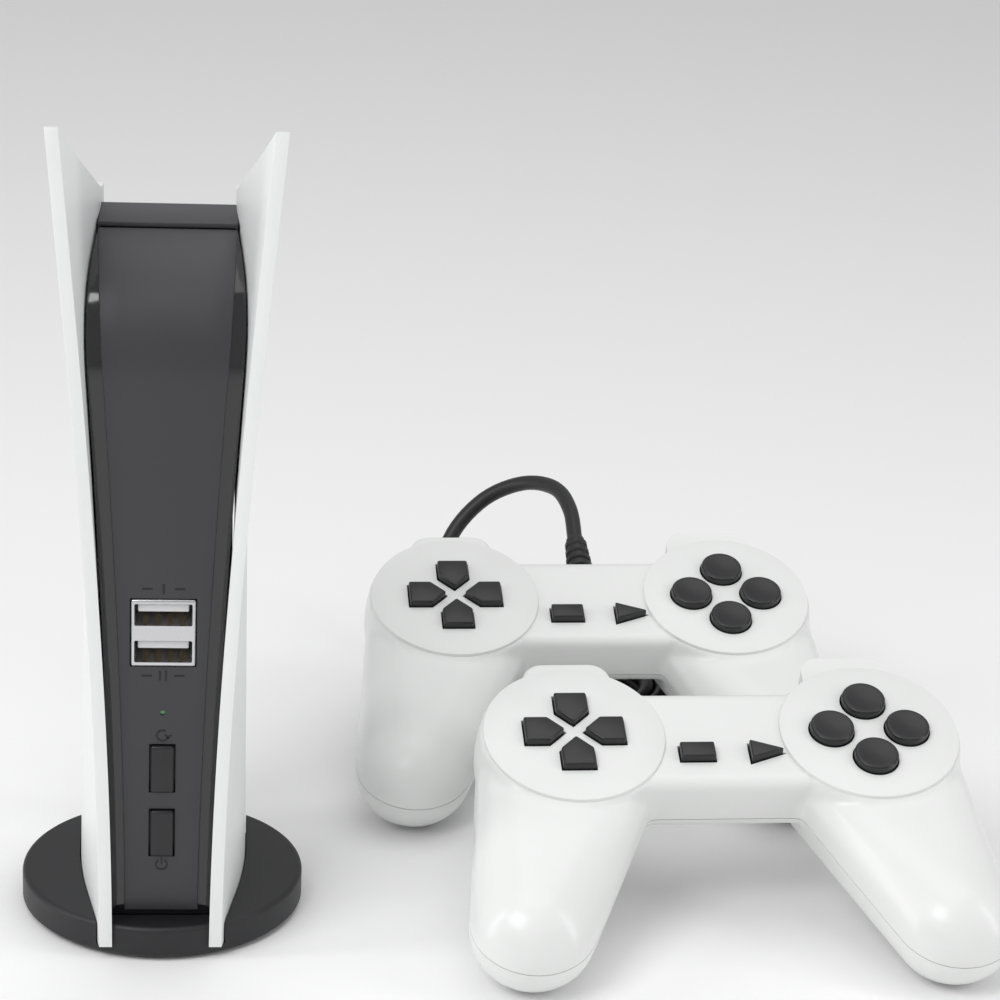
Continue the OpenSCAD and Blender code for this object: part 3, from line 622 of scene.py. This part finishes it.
PLACES = {"rear": stand(REAR_AT), "front": stand(FRONT_AT)}


def set_down(piece, material, part, body):
    """Puts a copy of a piece on each controller; body and part get the side's name in front."""
    for side, place in PLACES.items():
        copy = bpy.data.objects.new(f"{side}_{part}", piece.data.copy())
        scene.collection.objects.link(copy)
        copy.data.transform(place)
        dress(copy, material, f"{side}_{body}", [f"{side}_{part}"])
    drop(piece)


def hull_of(shape, points):
    """Adds the convex hull of some points to a bmesh."""
    part = bmesh.new()
    for p in points:
        part.verts.new(Vector(p) * MM)
    found = bmesh.ops.convex_hull(part, input=part.verts)
    spare = {v for v in found["geom_interior"] if isinstance(v, bmesh.types.BMVert)}
    bmesh.ops.delete(part, geom=list(spare), context="VERTS")
    mesh = bpy.data.meshes.new("hull")
    part.to_mesh(mesh)
    part.free()
    shape.from_mesh(mesh)
    bpy.data.meshes.remove(mesh)


def ring_points(cx, cy, r, z, steps=48):
    return [(cx + x, cy + y, z) for x, y in circle(r, steps)]


def pod_points(side, d):
    cx = side * SPAN
    points = ring_points(cx, 0, DISC_R + 0.5 - d, -d) + ring_points(cx, 0, POD_R - d, -6)
    for a in (math.radians(9 * k) for k in range(10)):
        points += ring_points(cx, 0, (POD_R - d) * math.cos(a), -10 - (POD_DEPTH - 10 - d) * math.sin(a))
    return points


def grip_points(side, d):
    r, top, low = POD_R - 0.6 - d, -1.6 - d, -POD_DEPTH + 3 + d
    points = []
    upper = ((6, top), (2.5, top - 1.2), (0.6, top - 4), (0, top - 9))
    lower = ((2, low + 4), (7, low + 1), (12, low))
    for sink, z in upper + lower:
        points += ring_points(side * SPAN, 0, r - sink, z)
    tip = GRIP_R - d
    for a in (math.radians(12 * k) for k in range(-7, 8)):
        points += ring_points(side * GRIP_SPREAD, -GRIP_REACH, tip * math.cos(a),
                              -GRIP_DROP + GRIP_FLAT * tip * math.sin(a), 32)
    return points


def bridge_points(d):
    e = 2.2
    points = []
    for y in (-BRIDGE_FRONT + d + e, BRIDGE_BACK - d - e):
        for z in (-d - e, -BRIDGE_T + d + e):
            points += [(x, y + u, z + v) for x in (-SPAN, SPAN) for u, v in circle(e, 20)]
    return points


def shoulder_outline(d, back=0.0):
    """Outline of a shoulder button, grown by d, reaching back towards the player."""
    w, far, r = SHOULDER_W / 2 + d, SHOULDER_Y[1] + d, 5
    corner = [math.radians(9 * k) for k in range(11)]
    right = [(w - r + r * math.cos(a), far - r + r * math.sin(a)) for a in corner]
    near = SHOULDER_Y[0] - d - back
    return [(w, near)] + right + [(-x, y) for x, y in reversed(right)] + [(-w, near)]


def case_form(name, d, voxel, smoothing):
    """The controller's whole outside, sunk inward by d, with soft fillets where its forms meet."""
    shape = bmesh.new()
    hull_of(shape, bridge_points(d))
    for side in (-1, 1):
        hull_of(shape, pod_points(side, d))
        hull_of(shape, grip_points(side, d))
        hull_of(shape, [(side * SHOULDER_X + x, y, z) for x, y in shoulder_outline(-d, 4)
                        for z in (-HOUSING_LOW + d, SHOULDER_Z[0] - 0.8 - d)])
    mesh = bpy.data.meshes.new(name)
    shape.to_mesh(mesh)
    shape.free()
    form = bpy.data.objects.new(name, mesh)
    scene.collection.objects.link(form)
    skin = form.modifiers.new("skin", "REMESH")
    skin.mode = "VOXEL"
    skin.voxel_size = voxel * MM
    if smoothing:
        ease_off = form.modifiers.new("ease", "SMOOTH")
        ease_off.factor = 0.5
        ease_off.iterations = smoothing
    return settle(form)


def pentagon(d):
    w, tip = ARROW_W / 2 + d, 2.3 - d * 1.41
    return [(0, tip), (w, tip + w), (w, ARROW_OUT + d), (-w, ARROW_OUT + d), (-w, tip + w)]


def arrow(quarter, d, z0, z1):
    c, s = math.cos(quarter * math.pi / 2), math.sin(quarter * math.pi / 2)
    return prism("arrow", [(c * x - s * y - SPAN, s * x + c * y) for x, y in pentagon(d)], z0, z1)


def button_spot(k):
    return SPAN + BUTTON_RING * math.sin(k * math.pi / 2), BUTTON_RING * math.cos(k * math.pi / 2)


def select_outline(d):
    w, h = 4 + d, 2.3 + d
    x0, x1, y0, y1 = SELECT_X - w, SELECT_X + w, MENU_Y - h, MENU_Y + h
    return [(x0, y0), (x1, y0), (x1, y1), (x0, y1)]


def start_outline(d):
    return [(START_X - 3.8 - d, MENU_Y - 2.9 - 1.6 * d), (START_X + 4 + 2.4 * d, MENU_Y),
            (START_X - 3.8 - d, MENU_Y + 2.9 + 1.6 * d)]


def key_ways():
    """Cutters for every key's opening in the face."""
    low, high = DISC_RISE - CASE_T - 2, DISC_RISE + 2
    ways = [arrow(q, SLIP, low, high) for q in range(4)]
    for k in range(4):
        x, y = button_spot(k)
        ways.append(turned("way", [(BUTTON_R + SLIP, low), (BUTTON_R + SLIP, high)], (x, y, 0)))
    ways.append(prism("way", select_outline(SLIP), low, high))
    ways.append(prism("way", start_outline(SLIP), low, high))
    return ways


def make_cases():
    """One smooth controller body, hollowed, with its openings cut, then parted at the seam."""
    body = case_form("body", 0, 0.8, 8)
    for side in (-1, 1):
        disc = [(0, -3), (DISC_R, -3), (DISC_R, DISC_RISE - 0.35), (DISC_R - 0.1, DISC_RISE - 0.1),
                (DISC_R - 0.35, DISC_RISE), (0, DISC_RISE)]
        join(body, turned("disc", disc, (side * SPAN, 0, 0), 96))
    hollow = case_form("hollow", CASE_T, 1.2, 0)
    for x, y, _ in PAD_SCREWS:
        cut(hollow, turned("boss", [(4, -26), (4, -3)], (x, y, 0), 32))
    cut(body, hollow)
    lower = bpy.data.objects.new("lower", body.data.copy())
    scene.collection.objects.link(lower)
    gap = 0.11
    cut(body, block("half", (-80, -80, -60), (80, 60, PART_Z + gap)), *key_ways())
    cut(lower, block("half", (-80, -80, PART_Z - gap), (80, 60, 20)))
    for side in (-1, 1):
        outline = [(side * SHOULDER_X + x, y) for x, y in shoulder_outline(0.5)]
        for case in (body, lower):
            cut(case, prism("way", outline, SHOULDER_Z[0] - 0.5, SHOULDER_Z[1] + 0.5))
    for x, y, head in PAD_SCREWS:
        cut(lower, turned("way", [(2.9, -40), (2.9, head)], (x, y, 0), 36))
    cut(body, rod("way", (0, BRIDGE_BACK - 4, LEAD_Z), (0, BRIDGE_BACK + 3, LEAD_Z), 3.2))
    set_down(shade(body, 34), pad_white, "top_case", "pad")
    set_down(shade(lower, 34), pad_white, "bottom_case", "pad")


def make_pad_keys():
    top = DISC_RISE + 1.8
    rim, under, over = ARROW_OUT + 1, -3.9, -2.9
    cross = turned("cross", [(0, under), (rim, under), (rim, over), (0, over)], (-SPAN, 0, 0))
    for q in range(4):
        arm = arrow(q, 0, -3.3, top)
        join(cross, soften(arm, 0.55, 4))
    set_down(shade(cross), key_black, "dpad", "cross")
    for k, name in enumerate(("top", "right", "bottom", "left")):
        x, y = button_spot(k)
        r, high = BUTTON_R, DISC_RISE + 1.9
        profile = [(0, -3.4), (r + 0.9, -3.4), (r + 0.9, -2.3), (r, -2.3), (r, high - 0.5)]
        profile += [(r - 0.5 + 0.5 * math.cos(a), high - 0.5 + 0.5 * math.sin(a))
                    for a in (math.radians(15 * j) for j in range(1, 7))]
        profile += [(r - 1.2, high - 0.05), (r * 0.5, high - 0.25), (0, high - 0.32)]
        set_down(shade(turned(name, profile, (x, y, 0), 64)), key_black,
                 f"{name}_button", f"{name}_key")
    for name, outline in (("select", select_outline), ("start", start_outline)):
        cap = soften(prism(name, outline(0), -3, 2), 0.4, 4)
        join(cap, prism("flange", outline(0.6), -3.6, -2.6))
        set_down(shade(cap), key_black, f"{name}_button", f"{name}_key")


def make_shoulders():
    for side, name in ((-1, "left"), (1, "right")):
        outline = [(side * SHOULDER_X + x, y) for x, y in shoulder_outline(0)]
        button = soften(prism(name, outline, *SHOULDER_Z), 1.2, 5, 50)
        set_down(shade(button), pad_white, f"{name}_shoulder", f"{name}_trigger")


# --- lead of the rear controller -------------------------------------------------------------

COIL_AT = (105.8, 88.5)
FEED = [(104.92, 110.92, 44.78), (104.5, 122.2, 48.9), (101.5, 133.5, 50.6), (94, 142.5, 48.5),
        (84, 146, 42.5), (75.5, 143, 33.5), (71.5, 135.5, 23), (72.5, 126.5, 13), (77, 118, 5.6),
        (81.4, 109.5, 2.4), (83, 100.7, 2.05)]
BEFORE_FEED = (105.3, 99.7, 40.7)
PLUG_AT = (134.9, 122, 4)
PLUG_NECK = 8.9                      # length of the plug's tapered neck
TAIL = [(134.9, 97, 2.3), (134.9, 105, 3.3), (134.9, 113, 4)]


def on_coil(r, angle, z):
    a = math.radians(angle)
    return Vector((COIL_AT[0] + r * math.cos(a), COIL_AT[1] + r * math.sin(a), z))


def through(points, steps):
    """Smooth curve through the points, leaving out the first and last."""
    p = [Vector(q) for q in points]
    line = []
    for i in range(1, len(p) - 2):
        for k in range(steps):
            t = k / steps
            line.append(0.5 * (2 * p[i] + (p[i + 1] - p[i - 1]) * t
                               + (2 * p[i - 1] - 5 * p[i] + 4 * p[i + 1] - p[i + 2]) * t * t
                               + (3 * p[i] - p[i - 1] - 3 * p[i + 1] + p[i + 2]) * t**3))
    return line + [p[-2]]


def coil_line():
    """Eleven turns wound to and fro in four layers; each turn moves to the next place in its own stretch."""
    places = [(25.05, 2.05), (21, 2), (17, 2), (17, 6.05), (21, 6.05), (25, 6.05), (25, 10.05), (21, 10.05),
              (17, 10.05), (17, 14.05), (21, 14.05), (25, 14.05), (29.15, 2.05)]
    first, lag, window, step = 170, 25, 80, 7.5
    starts = [first + 360 * k + 25 + lag * (10 - k) for k in range(11)]
    starts.append(first + 360 * 11 - 60)
    end = 360 * 11 + 360
    line, angle = [], first
    while angle < end:
        r, z = places[0]
        for k, start in enumerate(starts):
            length = window if k < 11 else 120
            t = min(max((angle - start) / length, 0), 1)
            t = 0.5 - 0.5 * math.cos(math.pi * t)
            if k < 11:
                r = mix(r, places[k + 1][0], t)
                z = mix(z, places[k + 1][1], t)
            else:
                r = mix(r, places[k + 1][0], min(2 * t, 1))
                z = mix(z, places[k + 1][1], max(0, 1.35 * t - 0.35))
        line.append(on_coil(r, angle, z))
        angle += step
    return line


def make_lead():
    feed = through([BEFORE_FEED, *FEED, on_coil(25.05, 170, 2.05), on_coil(25.05, 185, 2.05)], 6)
    turns = coil_line()
    tail = through([turns[-2], turns[-1], *TAIL, Vector(PLUG_AT) - Vector((0, PLUG_NECK, 0)), PLUG_AT], 5)
    line = feed[:-1] + turns[:-1] + tail
    curve = bpy.data.curves.new("lead", "CURVE")
    curve.dimensions = "3D"
    curve.bevel_depth = LEAD_D / 2 * MM
    curve.bevel_resolution = 4
    curve.use_fill_caps = True
    strand = curve.splines.new("POLY")
    strand.points.add(len(line) - 1)
    for place, p in zip(strand.points, line):
        place.co = (*(p * MM), 1)
    strand.use_smooth = True
    lead = bpy.data.objects.new("lead", curve)
    scene.collection.objects.link(lead)
    dress(lead, rubber_black, "rear_pad", ["lead_tube", "lead_coil"])
    make_plug()


def make_plug():
    x, y, z = PLUG_AT
    grip = soften(block("plug_body", (x - 6, y, z - 4), (x + 6, y + 24, z + 4)), 1.9, 6)
    for k in range(5):
        for s in (-1, 1):
            at = x + s * 6
            start = y + 8 + 2.4 * k
            cut(grip, block("rib way", (at - 0.3, start, z - 2.6), (at + 0.3, start + 1, z + 2.6)))
    cone = ((2.45, 0), (2.9, 3), (3.5, 9.3))
    rings = [[(x + u, y - PLUG_NECK + along, z + v) for u, v in circle(r, 40)] for r, along in cone]
    relief = loft("relief", rings)
    join(grip, relief)
    dress(shade(grip), rubber_black, "rear_pad", ["plug_body"])
    shell = soften(block("plug_shell", (x - 6, y + 24, z - 2.25), (x + 6, y + 36, z + 2.25)), 0.3, 3)
    cut(shell, block("way", (x - 5.6, y + 25, z - 1.85), (x + 5.6, y + 38, z + 1.85)))
    for s in (-1, 1):
        cut(shell, block("latch", (x + s * 2.8 - 1, y + 29, z - 3), (x + s * 2.8 + 1, y + 31, z + 3)))
    dress(shade(shell), steel, "rear_pad", ["plug_shell"])
    tongue = block("plug_tongue", (x - 5.5, y + 25, z - 1.7), (x + 5.5, y + 35.2, z + 0.2))
    dress(tongue, port_white, "rear_pad")
    return [grip, shell, tongue]


def make_relief():
    """Ribbed sleeve where the lead leaves the rear controller."""
    start, end = BRIDGE_BACK - 2.4, BRIDGE_BACK + RELIEF_LEN
    profile = [(RELIEF_R + 1.2, BRIDGE_BACK - 3.8), (RELIEF_R + 1.2, BRIDGE_BACK - 2.2), (3.0, start + 0.2)]
    for k in range(5):
        y, r = BRIDGE_BACK + 1 + 2.9 * k, RELIEF_R - 0.18 * k
        inner = mix(RELIEF_R - 0.6, LEAD_D / 2 + 0.4, (y - start) / (end - start))
        profile += [(inner, y - 0.15), (r - 0.2, y), (r, y + 0.25)]
        profile += [(r, y + 1.45), (r - 0.2, y + 1.7), (inner, y + 1.85)]
    profile += [(LEAD_D / 2 + 0.4, end - 0.3), (LEAD_D / 2 + 0.2, end)]
    rings = [[(u, y, LEAD_Z + v) for u, v in circle(r, 40)] for r, y in profile]
    sleeve = shade(loft("lead_relief", rings), 30)
    sleeve.data.transform(PLACES["rear"])
    dress(sleeve, rubber_black, "rear_pad", ["lead_relief"])


# --- stage, light and camera -----------------------------------------------------------------


def area_light(name, at, aim, size, power, tint=(1, 1, 1)):
    data = bpy.data.lights.new(name, "AREA")
    data.shape = "RECTANGLE"
    data.size, data.size_y = size
    data.energy = power
    data.color = tint
    light = bpy.data.objects.new(name, data)
    light.location = at
    light.rotation_euler = (Vector(aim) - Vector(at)).to_track_quat("-Z", "Y").to_euler()
    scene.collection.objects.link(light)


def make_stage():
    size = 6
    floor = piece_from("floor", [(-size / MM, -size / MM, 0), (size / MM, -size / MM, 0),
                                 (size / MM, size / MM, 0), (-size / MM, size / MM, 0)], [(0, 1, 2, 3)])
    floor.location.z = -0.0001
    paper = finish("paper", (0.93, 0.93, 0.93), 0.7, depth=0.0, drift=0.0, gloss_drift=0.0)
    floor.data.materials.append(paper)
    world = bpy.data.worlds.new("studio")
    world.use_nodes = True
    sky = world.node_tree.nodes["Background"]
    sky.inputs["Color"].default_value = (1, 1, 1, 1)
    sky.inputs["Strength"].default_value = 0.5
    scene.world = world
    middle = (0.08, 0.03, 0.06)
    area_light("key light", (-0.45, -0.55, 0.9), middle, (0.5, 0.5), 4.2)
    area_light("top light", (0.15, 0.1, 1.0), middle, (0.8, 0.8), 2.2)
    area_light("right strip", (0.75, -0.25, 0.35), middle, (0.12, 0.7), 1.2)
    area_light("left strip", (-0.6, -0.1, 0.3), (0, 0, 0.1), (0.1, 0.6), 1.0)


def make_camera():
    """Close camera above the table's edge, turned a little to the right."""
    away, rise, across = 680, 361.6, 8.2
    yaw, pitch, roll = (math.radians(a) for a in (5.53, 21.05, 2.73))
    ahead = Vector((math.sin(yaw) * math.cos(pitch), math.cos(yaw) * math.cos(pitch), -math.sin(pitch)))
    right = ahead.cross(Vector((0, 0, 1))).normalized()
    up = right.cross(ahead)
    tilted_right = right * math.cos(roll) + up * math.sin(roll)
    tilted_up = up * math.cos(roll) - right * math.sin(roll)
    data = bpy.data.cameras.new("camera")
    data.sensor_width = 36
    data.lens = 118.3
    camera = bpy.data.objects.new("camera", data)
    turn = Matrix((tilted_right, tilted_up, -ahead)).transposed()
    camera.matrix_world = Matrix.Translation(Vector((across, -away, rise)) * MM) @ turn.to_4x4()
    scene.collection.objects.link(camera)
    scene.camera = camera
    scene.view_settings.view_transform = "Standard"


dress_packed_solids()
make_fin(-1, "left_fin")
make_fin(1, "right_fin")
make_shells()
make_panel()
make_base()
make_socket()
make_console_key("reset_button", "reset_key", RESET_Z)
make_console_key("power_button", "power_key", POWER_Z)
make_marks()
make_cases()
make_pad_keys()
make_shoulders()
make_relief()
make_lead()
make_stage()
make_camera()
